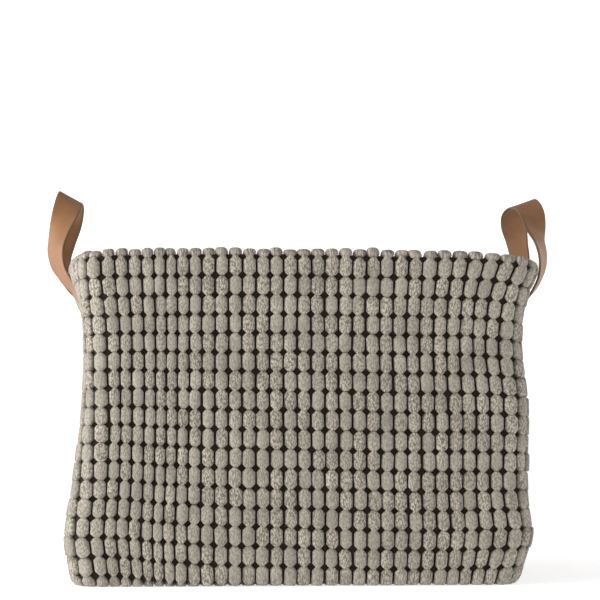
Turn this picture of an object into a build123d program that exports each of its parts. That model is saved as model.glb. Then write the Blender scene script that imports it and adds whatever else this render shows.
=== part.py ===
"""A soft storage bin: tufted pile cloth outside, a stiffened and lined wall, and a leather
carrying strap at each end.

Frame: millimetres, origin under the middle of the base, +Z up, +X along the long side.
The wall is narrowest at the waist, so every layer of it is cut from blocks that follow one
profile, each a stated distance inside the bin's nominal outer face.
"""

import os
from math import cos, pi, sin

from build123d import *

# Overall sizes
width = 400.0  # along X, at the base and at the rim
depth = 300.0  # along Y, at the base and at the rim
height = 284.0  # of the rim
corner_radius = 26.0  # of the upright corners, outside
waist_below_rim = 79.0
waist_inset = 12.0  # how far every side is drawn in at the waist
edge_roll = 4.0  # the bevel where the cloth turns over the rim and under the base

# Layers of the wall and the base, from the outside in
cloth = 6.0  # pile cloth, with its ground
stiffener = 3.0
lining = 1.0
board = 3.0
facing_depth = 40.0  # how far the pile cloth is turned down inside the rim
fit_gap = 0.2  # between pieces that are laid in loose

# The bound seam round the inside of the base
tape_height = 10.0
tape = 1.5

# The line of thread that holds the turned-in cloth down
thread = 0.6
thread_above_edge = 5.0

# Leather straps
strap_width = 25.0
strap = 2.4
sewn_length = 56.0
fold_below_rim = 55.0  # from the rim down to the top of the sewn ends
strap_spread = 120.0  # between the middles of a strap's two ends
loop_rise = 110.0  # from the fold to the top of the loop
loop_lean = 8.0  # how far the top of the loop stands outside the fold
loop_bow = 22.0  # how far each leg bows outwards halfway up
loop_tilt = 30.0  # degrees that the crest of the loop tips towards the bin
fold_gap = 1.8  # between the folded strap and the wall
end_gap = 0.3  # between the fold and the sewn end below it

# Stitching of the sewn ends
stitch = 3.2
stitch_pitch = 4.6
stitch_width = 0.9
stitch_margin = 3.5

# Reinforcing patches behind the sewn ends
patch = 1.2
patch_margin = 6.0

side_names = {"left": -1, "right": 1}
end_names = {"front": -1, "rear": 1}
waist_height = height - waist_below_rim
fold_height = height - fold_below_rim


def inset(z):
    """How far the nominal face is drawn in at height z."""
    if z < waist_height:
        return waist_inset * max(z, 0.0) / waist_height
    return waist_inset * max(height - z, 0.0) / (height - waist_height)


def block(levels):
    """The solid through rounded rectangles, each given as (height, distance inside the face)."""
    with BuildPart() as body:
        for z, inside in levels:
            drawn_in = 2 * (inset(z) + inside)
            with BuildSketch(Plane.XY.offset(z)):
                RectangleRounded(width - drawn_in, depth - drawn_in, corner_radius - inside)
        loft(ruled=True)
    return body.part


def core(inside, low, high):
    """All that lies further in than a distance from the face, from one height to another."""
    bends = [waist_height] if low < waist_height < high else []
    return block([(z, inside) for z in [low, *bends, high]])


def layer(outer, inner, low, high):
    """The ring of wall between two distances from the face."""
    with BuildPart() as ring:
        add(core(outer, low, high))
        add(core(inner, low, high), mode=Mode.SUBTRACT)
    return ring.part


def export(builder, name):
    """Label a finished piece and write it."""
    builder.part.label = name
    export_step(builder.part, f"parts/{name}.step")


os.makedirs("parts", exist_ok=True)

stiffener_face = cloth
lining_face = stiffener_face + stiffener
facing_face = lining_face + lining
mouth_face = facing_face + cloth
rim_underside = height - cloth
board_top = cloth + board
tape_top = cloth + tape_height

# Pile cloth of the wall, turned over the rim and down inside it
with BuildPart() as outer_wall:
    add(
        block(
            [
                (0, edge_roll),
                (edge_roll, 0),
                (waist_height, 0),
                (height - edge_roll, 0),
                (height, edge_roll),
            ]
        )
    )
    add(core(cloth, 0, rim_underside), mode=Mode.SUBTRACT)
    add(layer(facing_face, mouth_face, height - facing_depth, rim_underside))
    add(
        block(
            [
                (height - facing_depth, mouth_face),
                (height - edge_roll, mouth_face),
                (height, mouth_face - edge_roll),
            ]
        ),
        mode=Mode.SUBTRACT,
    )
export(outer_wall, "outer_wall")

with BuildPart() as outer_base:
    add(core(cloth, 0, cloth))
export(outer_base, "outer_base")

with BuildPart() as base_seam_tape:
    add(layer(cloth, cloth + tape, cloth, tape_top))
export(base_seam_tape, "base_seam_tape")

with BuildPart() as base_board:
    add(core(cloth + tape + fit_gap, cloth, board_top))
export(base_board, "base_board")

with BuildPart() as lining_base:
    add(core(facing_face, board_top, board_top + lining))
export(lining_base, "lining_base")

with BuildPart() as lining_wall:
    add(layer(lining_face, facing_face, board_top, rim_underside))
export(lining_wall, "lining_wall")

thread_low = height - facing_depth + thread_above_edge
with BuildPart() as facing_thread:
    add(layer(mouth_face, mouth_face + thread, thread_low, thread_low + thread))
export(facing_thread, "facing_thread")

# Reinforcing patches, let into the inner face of the end stiffeners
sewn_low = fold_height - sewn_length
patch_low = sewn_low - patch_margin
patch_height = sewn_length + 2 * patch_margin
patch_width = strap_width + 2 * patch_margin
sewn_middle = fold_height - sewn_length / 2
patches = {}
for side, x_sign in side_names.items():
    for end, y_sign in end_names.items():
        name = f"{side}_{end}_patch"
        with BuildPart() as patch_piece:
            add(layer(lining_face - patch, lining_face, patch_low, patch_low + patch_height))
            with Locations((x_sign * width / 2, y_sign * strap_spread / 2, sewn_middle)):
                Box(4 * mouth_face, patch_width, patch_height, mode=Mode.INTERSECT)
        patches[name] = patch_piece.part
        export(patch_piece, name)

# Stiffening panels, one to a side, clear of the corners so that the bin can fold
flat_margin = 2 * (corner_radius + waist_inset)
panel_height = rim_underside - tape_top - fit_gap
panel_middle = (rim_underside + tape_top + fit_gap) / 2
panels = {
    "front": ((0, -depth / 2), (width - flat_margin, 4 * mouth_face)),
    "rear": ((0, depth / 2), (width - flat_margin, 4 * mouth_face)),
    "left": ((-width / 2, 0), (4 * mouth_face, depth - flat_margin)),
    "right": ((width / 2, 0), (4 * mouth_face, depth - flat_margin)),
}
for side, (centre, spread) in panels.items():
    with BuildPart() as panel:
        add(layer(stiffener_face, lining_face, tape_top + fit_gap, rim_underside))
        with Locations((*centre, panel_middle)):
            Box(*spread, panel_height, mode=Mode.INTERSECT)
        for name, piece in patches.items():
            if name.startswith(side):
                add(piece, mode=Mode.SUBTRACT)
    export(panel, f"{side}_stiffener")


# Leather straps
half_spread = strap_spread / 2
fold_x = width / 2 - inset(fold_height) + fold_gap + strap / 2
fold_z = fold_height + end_gap + strap / 2
stations = 24


def loop_point(turn):
    """A point on the middle line of the right strap's loop; turn runs from 0 to pi."""
    return Vector(
        fold_x + loop_lean * sin(turn) + loop_bow * sin(2 * turn) ** 2,
        -half_spread * cos(turn),
        fold_z + loop_rise * sin(turn),
    )


def loop_section(turn):
    """The plane across the loop. The strap lies flat to the wall at its folds, and is
    twisted a quarter turn on the way up, so that its crest is level along X."""
    step = 0.001
    along = (loop_point(turn + step) - loop_point(turn - step)).normalized()
    if turn in (0.0, pi):
        along = Vector(0, 0, cos(turn))
    upwards = Vector(0, -cos(turn), sin(turn))
    across = along.cross(upwards).normalized()
    share = min(turn, pi - turn) / (pi / 2)
    twist = 90.0 - (90.0 + loop_tilt) * share**2 * (3 - 2 * share)
    across = across.rotate(Axis((0, 0, 0), along), twist)
    return Plane(origin=loop_point(turn), x_dir=across, z_dir=along)


def strap_loop(x_sign):
    """The free part of a strap, from fold to fold, with its folded roots rounded."""
    with BuildPart() as roots:
        with Locations((fold_x, -half_spread, fold_z), (fold_x, half_spread, fold_z)):
            Cylinder(strap / 2, strap_width, rotation=(90, 0, 0))
        split(bisect_by=Plane.XY.offset(fold_z), keep=Keep.BOTTOM)
    with BuildPart() as right_loop:
        for station in range(stations + 1):
            with BuildSketch(loop_section(pi * station / stations)):
                Rectangle(strap_width, strap)
        loft()
        add(roots.part)
    with BuildPart() as loop:
        add(right_loop.part if x_sign > 0 else right_loop.part.mirror(Plane.YZ))
    return loop


def stitch_places():
    """Middles of the stitches of one sewn end, as (across, height, is it upright)."""
    half_across = strap_width / 2 - stitch_margin
    low = sewn_low + stitch_margin
    high = fold_height - stitch_margin
    upright = int((high - low) / stitch_pitch)
    level = int(2 * half_across / stitch_pitch)
    places = []
    for n in range(upright):
        z = low + (n + 0.5) * (high - low) / upright
        places += [(-half_across, z, True), (half_across, z, True)]
    for n in range(level):
        y = -half_across + (n + 0.5) * 2 * half_across / level
        places += [(y, low, False), (y, high, False)]
    return places


for side, x_sign in side_names.items():
    for end, y_sign in end_names.items():
        middle = (x_sign * width / 2, y_sign * half_spread, sewn_middle)
        with BuildPart() as sewn_end:
            add(layer(-strap, 0, sewn_low, fold_height))
            with Locations(middle):
                Box(4 * cloth, strap_width, sewn_length, mode=Mode.INTERSECT)
        export(sewn_end, f"{side}_strap_{end}_end")
        with BuildPart() as stitch_blocks:
            for y, z, is_upright in stitch_places():
                size = (stitch_width, stitch) if is_upright else (stitch, stitch_width)
                with Locations((middle[0], middle[1] + y, z)):
                    Box(4 * cloth, *size)
        with BuildPart() as stitches:
            add(layer(-strap - thread, -strap, sewn_low, fold_height))
            add(stitch_blocks.part, mode=Mode.INTERSECT)
        export(stitches, f"{side}_{end}_stitches")
    export(strap_loop(x_sign), f"{side}_strap_loop")
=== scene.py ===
"""A soft storage bin in tufted pile cloth: felt-stiffened walls, a cotton lining and a leather strap at
each end, modelled around the fixed frame of the same bin. Lengths are metres, +Z is up, the long side
runs along X and the front faces -Y."""

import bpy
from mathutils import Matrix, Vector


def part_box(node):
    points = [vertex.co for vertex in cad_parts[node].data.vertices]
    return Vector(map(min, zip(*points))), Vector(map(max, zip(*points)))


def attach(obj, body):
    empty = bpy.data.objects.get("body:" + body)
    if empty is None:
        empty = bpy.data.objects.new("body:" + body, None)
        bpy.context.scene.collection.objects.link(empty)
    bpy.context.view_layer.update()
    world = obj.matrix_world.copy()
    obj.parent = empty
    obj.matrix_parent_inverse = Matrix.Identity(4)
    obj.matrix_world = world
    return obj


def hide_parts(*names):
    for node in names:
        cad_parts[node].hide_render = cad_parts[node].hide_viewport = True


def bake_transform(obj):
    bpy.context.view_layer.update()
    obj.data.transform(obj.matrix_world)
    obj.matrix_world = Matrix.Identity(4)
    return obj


bl_info = {
    "name": "Tufted storage bin",
    "version": (1, 0, 0),
    "blender": (4, 5, 0),
    "location": "3D View > Sidebar > Bin",
    "description": "Builds a soft storage bin of tufted pile cloth with leather straps",
    "category": "Add Mesh",
}

import math

import bpy
import numpy as np
from bpy.props import FloatProperty, FloatVectorProperty, IntProperty, PointerProperty
from mathutils import Vector

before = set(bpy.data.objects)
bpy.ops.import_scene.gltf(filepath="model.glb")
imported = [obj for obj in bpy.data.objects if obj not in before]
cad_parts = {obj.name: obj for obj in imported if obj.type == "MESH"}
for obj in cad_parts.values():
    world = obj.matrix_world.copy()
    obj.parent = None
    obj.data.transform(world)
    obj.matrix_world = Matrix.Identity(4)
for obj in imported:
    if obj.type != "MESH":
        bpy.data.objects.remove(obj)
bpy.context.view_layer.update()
WALL_LOW, WALL_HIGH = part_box("outer_wall")
RIM_HEIGHT = round(WALL_HIGH[2] + 0.003, 3)
HALF_WIDTH = round(WALL_HIGH[0], 3)
HALF_DEPTH = round(WALL_HIGH[1], 3)
FOLD_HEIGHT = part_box("left_strap_front_end")[1][2]
SEWN_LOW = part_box("left_strap_front_end")[0][2]
STRAP_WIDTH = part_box("left_strap_front_end")[1][1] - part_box("left_strap_front_end")[0][1]
STRAP_AT = abs(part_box("left_strap_front_end")[1][1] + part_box("left_strap_front_end")[0][1]) / 2
FACING_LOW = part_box("facing_thread")[0][2] - 0.012
SIDES = ("front", "right", "rear", "left")
# Fixed clearances, stitches and heights, in metres
BASE_HEIGHT = 0.0035
UNDER_REACH = 0.009
SEAM_WIDTH = 0.021
LOOSE = 0.0002
TAPE = 0.0012
TAPE_TURN = 0.014
# The base's outline has this many points. Its cloth and board lap past the wall's seam; its pile stays
# inside it, in at most so many columns and rows each way, and is pressed flat where it meets the ground.
RING_POINTS = 224
BASE_LAP = 0.0005
BOARD_LAP = 0.004
PILE_INSET = 0.009
BASE_COLUMNS = 20
BASE_ROWS = 12
BASE_SPREAD = 0.06
BASE_GIVE = 0.15
STITCH_LENGTH = 0.0032
STITCH_PITCH = 0.0046
STITCH_MARGIN = 0.0035
FACING_DROP = 0.0495
HEM = 0.0020
# A sewn end lies on pressed pile this deep; the pile is pressed a little way above the fold too and
# recovers its height with this slope.
PRESSED_PILE = 0.0016
PRESSED_ABOVE = 0.026
PRESSED_SLOPE = 1.3
STRAP_LIFT = 0.0017
STRAP_STEP = 0.0025
# The lining's cloth settles in this many steps, and its wrinkles stand no further in than this
SETTLING_STEPS = 22
WRINKLE_REACH = 0.0045
# The first row starts this far below the rim's top, and the first column this share past the corner
FIRST_ROW = 0.0037
COLUMN_START = 0.05


# ---------------------------------------------------------------- sizes and colours


def length(name, description, value):
    """A length property, in metres."""
    return FloatProperty(name=name, description=description, default=value, unit="LENGTH")


class BinSizes(bpy.types.PropertyGroup):
    """Sizes of the cloth, its tufts and the straps."""

    columns: IntProperty(name="Tuft columns", description="Columns of tufts round the wall", default=112)
    rows: IntProperty(name="Tuft rows", description="Full rows of tufts on the outside", default=16)
    tuft_length: length("Tuft length", "Pitch of the rows", 0.0163)
    tuft_rise: length("Tuft rise", "Height of the pile over its ground", 0.0054)
    tuft_gap: length("Tuft gap", "Gap between columns", 0.0013)
    tuft_corner: length("Tuft corner", "How much each corner is cut off", 0.0035)
    fold_radius: length("Rim fold", "Radius of the ground cloth over the rim", 0.003)
    base_radius: length("Base turn", "Radius of the cloth under the base", 0.007)
    corner_radius: length("Corner", "Radius of the ground cloth at the corners", 0.021)
    strap_thickness: length("Leather", "Thickness of the straps", 0.0022)
    thread: length("Thread", "Thickness of the sewing thread", 0.0008)
    ground: length("Ground cloth", "Thickness of the cloth under the pile", 0.0009)
    felt: length("Felt", "Thickness of the stiffening panels", 0.0028)
    patch: length("Patch", "Thickness of the patches behind the straps", 0.0011)
    cotton: length("Cotton", "Thickness of the lining", 0.0007)
    wrinkle: length("Wrinkles", "Size of the lining's wrinkles", 0.0013)
    board: length("Board", "Thickness of the board in the base", 0.003)


def colour(name, description, value):
    """A colour property, in linear red, green, blue and alpha."""
    return FloatVectorProperty(
        name=name, description=description, subtype="COLOR", size=4, min=0, max=1, default=(*value, 1)
    )


class BinColours(bpy.types.PropertyGroup):
    """Colours of the finishes."""

    pile_tip: colour("Pile tip", "The top of the tufts", (0.465, 0.42, 0.348))
    # Painted shade: the colour low on the tufts' sides, darker where the tufts shade each other at their
    # roots
    pile_root_shade: colour("Pile root", "The sides of the tufts, low down", (0.22, 0.19, 0.15))
    ground: colour("Ground", "The cloth that the tufts stand on", (0.030, 0.017, 0.011))
    lining: colour("Lining", "The cotton inside", (0.50, 0.44, 0.35))
    felt: colour("Felt", "The stiffening inside the wall", (0.45, 0.44, 0.41))
    board: colour("Board", "The pressed board in the base", (0.30, 0.20, 0.11))
    leather: colour("Leather", "The grain side of the straps", (0.235, 0.112, 0.047))
    flesh: colour("Flesh side", "The inner side of the straps", (0.255, 0.128, 0.062))
    thread: colour("Thread", "The sewing thread", (0.16, 0.09, 0.05))


# ---------------------------------------------------------------- small helpers


def deselect():
    """Leave object mode's selection empty."""
    for other in list(bpy.context.selected_objects):
        other.select_set(False)


def only(piece):
    """Select one piece and make it the active one."""
    deselect()
    piece.select_set(True)
    bpy.context.view_layer.objects.active = piece


def named(name):
    """The object that the last operator added, renamed."""
    piece = bpy.context.active_object
    piece.name = name
    piece.data.name = name
    return piece


def settle(piece):
    """Move a piece's place, turn and scale into its mesh."""
    only(piece)
    bpy.ops.object.transform_apply(location=True, rotation=True, scale=True)


def smooth_line(points, at):
    """A smooth line through a few (x, y) points, level beyond its ends."""
    x, y = np.array(points, float).T
    at = np.clip(at, x[0], x[-1])
    run = np.diff(x)
    rise = np.diff(y) / run
    slope = np.concatenate([[0.0], (rise[1:] * run[:-1] + rise[:-1] * run[1:]) / (run[1:] + run[:-1]), [0.0]])
    i = np.clip(np.searchsorted(x, at, side="right") - 1, 0, len(run) - 1)
    t = (at - x[i]) / run[i]
    return (
        (2 * t**3 - 3 * t**2 + 1) * y[i]
        + (t**3 - 2 * t**2 + t) * run[i] * slope[i]
        + (3 * t**2 - 2 * t**3) * y[i + 1]
        + (t**3 - t**2) * run[i] * slope[i + 1]
    )


def ease(x):
    """0 below 0, 1 above 1 and smooth between."""
    x = np.clip(x, 0, 1)
    return x * x * (3 - 2 * x)


def unit(vectors):
    """The same directions with length 1."""
    return vectors / np.maximum(np.linalg.norm(vectors, axis=-1, keepdims=True), 1e-12)


def mesh_piece(name, points, faces, material, smooth=True):
    """A new piece from its points and faces."""
    mesh = bpy.data.meshes.new(name)
    mesh.from_pydata(np.asarray(points, float).tolist(), [], faces)
    mesh.materials.append(material)
    mesh.update()
    piece = bpy.data.objects.new(name, mesh)
    bpy.context.scene.collection.objects.link(piece)
    if smooth:
        only(piece)
        bpy.ops.object.shade_smooth()
    return piece


def face_outwards(piece):
    """Turn every face outwards."""
    only(piece)
    bpy.ops.object.mode_set(mode="EDIT")
    bpy.ops.mesh.select_all(action="SELECT")
    bpy.ops.mesh.normals_make_consistent(inside=False)
    bpy.ops.object.mode_set(mode="OBJECT")


def copied_faces(faces, points, count):
    """The faces of several copies of one shape, each copy with so many points."""
    return [tuple(n + k * points for n in face) for k in range(count) for face in faces]


def belongs(piece, slot, *nodes):
    """The piece goes with the bin's body and stands for some of the frame's nodes, which it hides; slot is
    not used.
    """
    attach(piece, "root")
    if nodes:
        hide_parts(*nodes)


def mark(piece, name, values):
    """Store one number per point under a name that the finish reads."""
    layer = piece.data.attributes.new(name, "FLOAT", "POINT")
    layer.data.foreach_set("value", np.asarray(values, np.float32))


def lay_uv(piece, across, along):
    """A UV map in metres from each point's place along two directions of the cloth."""
    layer = piece.data.uv_layers.new(name="Weave")
    corner = np.zeros(len(piece.data.loops), np.int32)
    piece.data.loops.foreach_get("vertex_index", corner)
    layer.data.foreach_set("uv", np.stack([across[corner], along[corner]], axis=1).ravel().astype(np.float32))


# ---------------------------------------------------------------- the shape of the wall

# A tuft is a little longer than the pitch of the rows, so that neighbours meet. It stands on a foot this
# share of its rise, drawn in at the root by a factor, and is domed above in steps of (share of the rise,
# share of the width, share of the length). Its corners are cut hollow.
TUFT_FOOT = 0.30
TUFT_ROOT = 0.90
TUFT_OVERLAP = 1.03
TUFT_HOLLOW = 0.27
TUFT_CUTS = (-2.2, -1.1, 0, 1.1, 2.2)
# How much one tuft differs from the next: turn in degrees, then shares of its width, length and rise, and
# its lean.
TUFT_SPREAD = (1.6, 0.025, 0.012, 0.09, 0.10)
TUFT_DOME = [(0.60, 0.96, 1.0), (0.84, 0.80, 0.96), (0.97, 0.50, 0.86), (1.0, 0.18, 0.66)]

MM = 0.001
# A corner's shift along a side dies away with this power; the flare, the waves, the slip of the rows and
# the bunching of the columns each start at a height or drop and grow over a length, in metres.
CORNER_FADE = 3.5
FLARE_FROM, FLARE_OVER = 0.225, 0.055
WAVE_OVER = 0.03
SLIP_FROM, SLIP_OVER = 0.03, 0.22
BUNCH_FROM, BUNCH_OVER = 0.09, 0.18
# Columns bunch at the front left corner and ease out beside it: (columns moved, middle, spread).
BUNCHED = (1.25, -1.5, 4.2)
EASED = (0.35, 3, 2.5)
# How far each corner stands outside (+) or inside (-) the upright frame, in millimetres, by height.
FRONT_LEFT_X = [(0, -4), (22, -1), (40, 1), (75, -4.5), (105, -9), (155, -14.5), (212, -14.5), (284, -9)]
FRONT_RIGHT_X = [(0, -7), (22, -2), (40, 3), (75, 0), (160, 1), (212, -3), (250, 2), (284, 13)]
REAR_RIGHT_X = [(0, -4), (40, 1), (150, -5), (212, -8), (284, 4)]
REAR_LEFT_X = [(0, -4), (40, 0), (150, -9), (212, -12), (284, -1)]
FRONT_Y = [(0, -4), (40, 0), (150, -4), (212, -7), (284, 1)]
REAR_Y = [(0, -4), (40, 1), (150, -6), (212, -8), (284, 2)]
# Corners in order round the wall: front left, front right, rear right, rear left.
CORNERS = [
    (-1, -1, FRONT_LEFT_X, FRONT_Y),
    (1, -1, FRONT_RIGHT_X, FRONT_Y),
    (1, 1, REAR_RIGHT_X, REAR_Y),
    (-1, 1, REAR_LEFT_X, REAR_Y),
]
# How far each side crowns outwards at mid height, millimetres: front, right, rear, left.
CROWN = [3.0, 2.0, 3.0, 0.0]
# How far the top of each side flares out, millimetres: front, right, rear, left.
FLARE = [0.0, 7.0, 2.0, 9.0]
# How far the rim droops, millimetres, by share of the way round from the front left corner.
RIM_DROOP = [(0, 0.5), (0.05, -0.5), (0.13, -1), (0.2, 0.5), (0.25, 2), (0.285, 8), (0.32, 5), (0.4, 1),
             (0.5, 4), (0.55, 2), (0.65, 1), (0.78, 4), (0.86, 1), (0.95, 3), (1, 1.5)]
# How far the rows of tufts slip along the cloth near the base, millimetres (+ is down).
ROW_SLIP = [(0, -7.5), (0.03, -4), (0.06, -1.5), (0.09, 0.5), (0.13, 1.8), (0.18, 4), (0.22, 4.5),
            (0.25, 3.5), (0.29, 1), (0.45, 2), (0.6, -2), (0.75, 1), (0.9, -4), (1, -7.5)]
# Slow waves of the cloth: cycles round the wall, wave length up it in metres, amplitude in mm, phases.
WAVES = [
    (5, 0.23, 0.55, 0.4, 1.1),
    (9, 0.15, 0.45, 2.0, 0.3),
    (16, 0.19, 0.30, 4.1, 2.2),
    (27, 0.11, 0.22, 1.3, 5.0),
]


def wall_lengths(sizes):
    """The ground cloth's straight lengths and corner arc, in plan."""
    radius = sizes.corner_radius
    half_x = HALF_WIDTH - sizes.tuft_rise
    half_y = HALF_DEPTH - sizes.tuft_rise
    return 2 * (half_x - radius), 2 * (half_y - radius), math.pi / 2 * radius


def column_pitch(sizes):
    """The distance between two columns of tufts on a straight side."""
    long, short, arc = wall_lengths(sizes)
    return (2 * long + 2 * short + 4 * arc) / sizes.columns


def profile(sizes, v):
    """(outward, height) of the ground cloth at distance v along it from the top of the rim.
    v grows down the outside and falls below zero down the inside."""
    fold = sizes.fold_radius
    turn = sizes.base_radius
    top = RIM_HEIGHT - sizes.tuft_rise
    quarter = math.pi / 2 * fold
    straight = top - fold - BASE_HEIGHT - turn
    down = np.clip(np.abs(v) - quarter, 0, None)
    angle = np.clip(v, -quarter, quarter) / fold
    out = -fold + fold * np.sin(angle)
    height = top - fold + fold * np.cos(angle) - np.where(v < 0, down, np.minimum(down, straight))
    past = np.clip(np.where(v > 0, down - straight, 0), 0, None)
    bend = np.clip(past / turn, 0, math.pi / 2)
    out = out - turn * (1 - np.cos(bend)) - np.clip(past - math.pi / 2 * turn, 0, None)
    height = height - turn * np.sin(bend)
    return out, height


def base_seam(sizes):
    """The distance along the cloth from the rim's top to the seam under the base."""
    top = RIM_HEIGHT - sizes.tuft_rise
    straight = top - sizes.fold_radius - BASE_HEIGHT - sizes.base_radius
    return math.pi / 2 * (sizes.fold_radius + sizes.base_radius) + straight + UNDER_REACH


def wall_point(sizes, u, v):
    """The ground cloth's place at column u and distance v from the rim's top."""
    u, v = np.broadcast_arrays(np.asarray(u, float), np.asarray(v, float))
    long, short, arc = wall_lengths(sizes)
    round_the_wall = 2 * long + 2 * short + 4 * arc
    share = (u / sizes.columns) % 1.0
    s = share * round_the_wall
    out, height = profile(sizes, v)
    height = height * (1 - MM * smooth_line(RIM_DROOP, share) / RIM_HEIGHT)
    tall = height / MM
    core_x = long / 2
    core_y = short / 2
    posts = [np.array([sx * core_x, sy * core_y]) for sx, sy, _, _ in CORNERS]
    moves = [
        np.stack([sx * MM * smooth_line(table_x, tall), sy * MM * smooth_line(table_y, tall)], axis=-1)
        for sx, sy, table_x, table_y in CORNERS
    ]
    core = np.zeros((*u.shape, 2))
    angle = np.zeros(u.shape)
    crown = np.zeros(u.shape)
    start = 0.0
    belly = np.sin(np.pi * np.clip(height / RIM_HEIGHT, 0, 1))
    top = ease((height - FLARE_FROM) / FLARE_OVER)
    for side in range(4):
        length = (long, short)[side % 2]
        along = (s >= start) & (s < start + length)
        f = np.clip((s - start) / length, 0, 1)[..., None]
        ahead = (side + 1) % 4
        lengthwise = np.array([(1, 0), (0, 1)][side % 2])
        near = np.where(lengthwise, np.clip(1 - 2 * f, 0, 1) ** CORNER_FADE, 1 - f)
        far = np.where(lengthwise, np.clip(2 * f - 1, 0, 1) ** CORNER_FADE, f)
        place = posts[side] * (1 - f) + posts[ahead] * f + moves[side] * near + moves[ahead] * far
        core = np.where(along[..., None], place, core)
        angle = np.where(along, (side - 1) * math.pi / 2, angle)
        middle = np.sin(np.pi * f[..., 0])
        bulge = CROWN[side] * middle**2 * belly + FLARE[side] * np.sqrt(np.abs(middle)) * top
        crown = np.where(along, MM * bulge, crown)
        start += length
        bend = (s >= start) & (s < start + arc)
        core = np.where(bend[..., None], posts[ahead] + moves[ahead], core)
        angle = np.where(bend, (side - 1 + (s - start) / arc) * math.pi / 2, angle)
        start += arc
    wave = np.zeros(u.shape)
    for cycles, length, size, phase_u, phase_v in WAVES:
        wave = wave + MM * size * np.sin(2 * np.pi * cycles * share + phase_u) * np.sin(
            2 * np.pi * v / length + phase_v
        )
    reach = sizes.corner_radius + out + crown + wave * ease(np.abs(v) / WAVE_OVER)
    x = core[..., 0] + reach * np.cos(angle)
    y = core[..., 1] + reach * np.sin(angle)
    return np.stack([x, y, height], axis=-1)


def wall_normal(sizes, u, v):
    """The direction straight out of the ground cloth."""
    du, dv = 0.08, 0.0006
    across = wall_point(sizes, u + du, v) - wall_point(sizes, u - du, v)
    down = wall_point(sizes, u, v + dv) - wall_point(sizes, u, v - dv)
    return unit(np.cross(down, across))


def column_of(sizes, side, distance):
    """The column at a distance along a side from its middle; side counts from the front."""
    long, short, arc = wall_lengths(sizes)
    start = sum(((long, short)[n % 2] + arc) for n in range(side))
    return (start + (long, short)[side % 2] / 2 + distance) / column_pitch(sizes)


def drop_to(sizes, height):
    """The distance v at which the outside of the cloth is at a height."""
    top = RIM_HEIGHT - sizes.tuft_rise
    return math.pi / 2 * sizes.fold_radius + top - sizes.fold_radius - height


def sewn_ends(sizes):
    """(strap, end, column) of the four sewn ends."""
    ends = []
    for strap, side, forwards in (("right", 1, -1), ("left", 3, 1)):
        ends.append((strap, "front", column_of(sizes, side, forwards * STRAP_AT)))
        ends.append((strap, "rear", column_of(sizes, side, -forwards * STRAP_AT)))
    return ends


def pressed(sizes, u, v, rise):
    """Limit a height over the cloth where a sewn strap end presses the pile down."""
    pitch = column_pitch(sizes)
    top = drop_to(sizes, FOLD_HEIGHT + PRESSED_ABOVE)
    bottom = drop_to(sizes, SEWN_LOW)
    limit = np.full(np.shape(u), 1.0)
    for _, _, column in sewn_ends(sizes):
        aside = np.abs((u - column + sizes.columns / 2) % sizes.columns - sizes.columns / 2) * pitch
        beyond = np.maximum(aside - STRAP_WIDTH / 2, 0)
        above = np.maximum(top - v, 0)
        below = np.maximum(v - bottom, 0)
        away = np.maximum(np.maximum(beyond, below), above * 0.6)
        limit = np.minimum(limit, PRESSED_PILE + away * PRESSED_SLOPE)
    return np.minimum(rise, limit)


# ---------------------------------------------------------------- finishes


def finish_material(name, roughness, specular=0.3, sheen=0.0, sheen_roughness=0.5):
    """A new material and its nodes: (material, nodes, links, surface shader)."""
    material = bpy.data.materials.new(name)
    material.use_nodes = True
    nodes = material.node_tree.nodes
    surface = nodes["Principled BSDF"]
    surface.inputs["Roughness"].default_value = roughness
    surface.inputs["Specular IOR Level"].default_value = specular
    surface.inputs["Sheen Weight"].default_value = sheen
    surface.inputs["Sheen Roughness"].default_value = sheen_roughness
    return material, nodes, material.node_tree.links, surface


def node(nodes, kind, **settings):
    """A new node with some of its settings and input values."""
    made = nodes.new(kind)
    for key, value in settings.items():
        if key in made.inputs:
            made.inputs[key].default_value = value
        else:
            setattr(made, key, value)
    return made


def noise_node(nodes, links, source, scale, detail=2.0, roughness=0.5, distortion=0.0):
    """A noise texture read from some coordinates."""
    made = node(nodes, "ShaderNodeTexNoise")
    made.inputs["Scale"].default_value = scale
    made.inputs["Detail"].default_value = detail
    made.inputs["Roughness"].default_value = roughness
    made.inputs["Distortion"].default_value = distortion
    links.new(source, made.inputs["Vector"])
    return made


def arithmetic(nodes, links, operation, first, second):
    """One sum of two sockets or numbers."""
    made = node(nodes, "ShaderNodeMath", operation=operation)
    for slot, value in zip(made.inputs, (first, second)):
        if isinstance(value, (int, float)):
            slot.default_value = value
        else:
            links.new(value, slot)
    return made.outputs[0]


def scaled(nodes, links, value, factor, plus):
    """A socket's value times a factor, plus a number."""
    made = arithmetic(nodes, links, "MULTIPLY_ADD", value, factor)
    made.node.inputs[2].default_value = plus
    return made


def mixed(nodes, links, amount, first, second, blend="MIX"):
    """A mix of two colours."""
    made = node(nodes, "ShaderNodeMix", data_type="RGBA", blend_type=blend)
    for slot, value in ((made.inputs[0], amount), (made.inputs[6], first), (made.inputs[7], second)):
        if isinstance(value, bpy.types.NodeSocket):
            links.new(value, slot)
        else:
            slot.default_value = value
    return made.outputs[2]


def bumped(nodes, links, surface, height, strength, distance):
    """Raise a surface's finish by a height."""
    made = node(nodes, "ShaderNodeBump")
    made.inputs["Strength"].default_value = strength
    made.inputs["Distance"].default_value = distance
    links.new(height, made.inputs["Height"])
    links.new(made.outputs["Normal"], surface.inputs["Normal"])


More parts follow.
